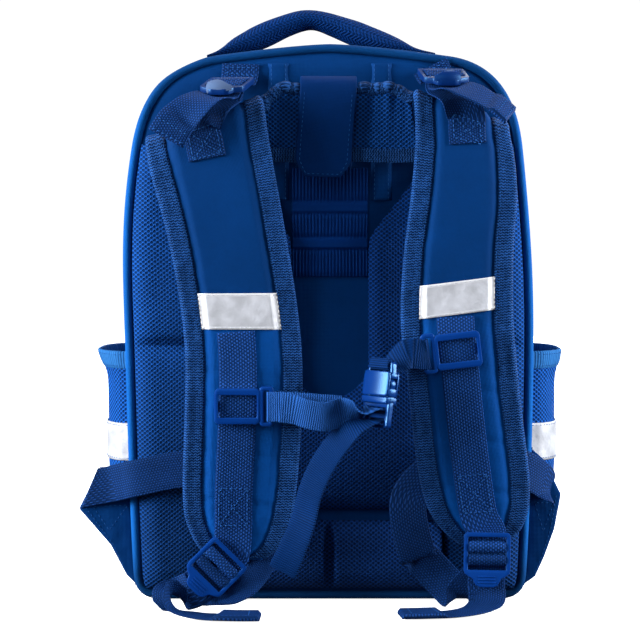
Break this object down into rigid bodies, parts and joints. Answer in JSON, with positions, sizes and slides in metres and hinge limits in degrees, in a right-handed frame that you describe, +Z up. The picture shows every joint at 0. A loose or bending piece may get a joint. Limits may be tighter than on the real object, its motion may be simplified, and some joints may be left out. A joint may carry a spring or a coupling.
{
  "type": "school backpack",
  "caption": "Upright blue school backpack with a padded mesh back, curved shoulder straps, chest strap with buckle, carry handle and mesh side pockets.",
  "frame": {"origin": "on the floor, below the middle of the bounding box of everything", "axes": "+Z up, -Y towards the viewer of the harness side, +X to the viewer's right"},
  "size_m": [0.3342, 0.252, 0.4044],
  "materials": {
    "shell": "smooth close-woven polyester, matt with a slight sheen",
    "mesh": "knitted spacer mesh with small dark holes",
    "tape": "fine ribbed binding tape",
    "webbing": "woven webbing, matt",
    "plastic": "moulded, satin gloss",
    "elastic": "ribbed elastic tape",
    "silver": "reflective film, slightly wrinkled",
    "zip": "coil zip with tape"
  },
  "bodies": {
    "root": {"back_panel": "shell", "piping_back": "shell", "base_gusset": "shell", "zip_gusset_back": "shell", "zip_gusset_front": "shell", "zip_chain": "zip", "piping_front": "shell", "front_panel": "shell", "zip_slider_left": "plastic", "zip_slider_right": "plastic", "carry_handle": "mesh", "bolster_left": "mesh", "bolster_right": "mesh", "spine_pad": "mesh", "lumbar_pad": "mesh", "stay_sleeve_left": "shell", "stay_sleeve_right": "shell", "ladder_panel": "tape", "yoke": "mesh", "yoke_binding": "tape", "yoke_flap": "shell", "strap_left": "shell", "strap_left_binding_outer": "tape", "strap_left_binding_inner": "tape", "strap_left_reflector": "silver", "strap_left_webbing": "webbing", "lock_left": "plastic", "strap_right": "shell", "strap_right_binding_outer": "tape", "strap_right_binding_inner": "tape", "strap_right_reflector": "silver", "strap_right_webbing": "webbing", "lock_right": "plastic", "wing_left": "shell", "wing_right": "shell", "lower_webbing_left": "webbing", "lower_webbing_right": "webbing", "lifter_left_anchor": "webbing", "lifter_left_lock": "plastic", "lifter_left_webbing": "webbing", "lifter_right_anchor": "webbing", "lifter_right_lock": "plastic", "lifter_right_webbing": "webbing", "chest_left_slider": "plastic", "chest_right_slider": "plastic", "chest_buckle_female": "plastic", "chest_buckle_male": "plastic", "chest_left_elastic": "elastic", "chest_left_webbing": "webbing", "chest_right_webbing": "webbing", "pocket_left": "mesh", "pocket_left_hem": "elastic", "pocket_left_reflector": "silver", "pocket_right": "mesh", "pocket_right_hem": "elastic", "pocket_right_reflector": "silver"}
  },
  "joints": []
}
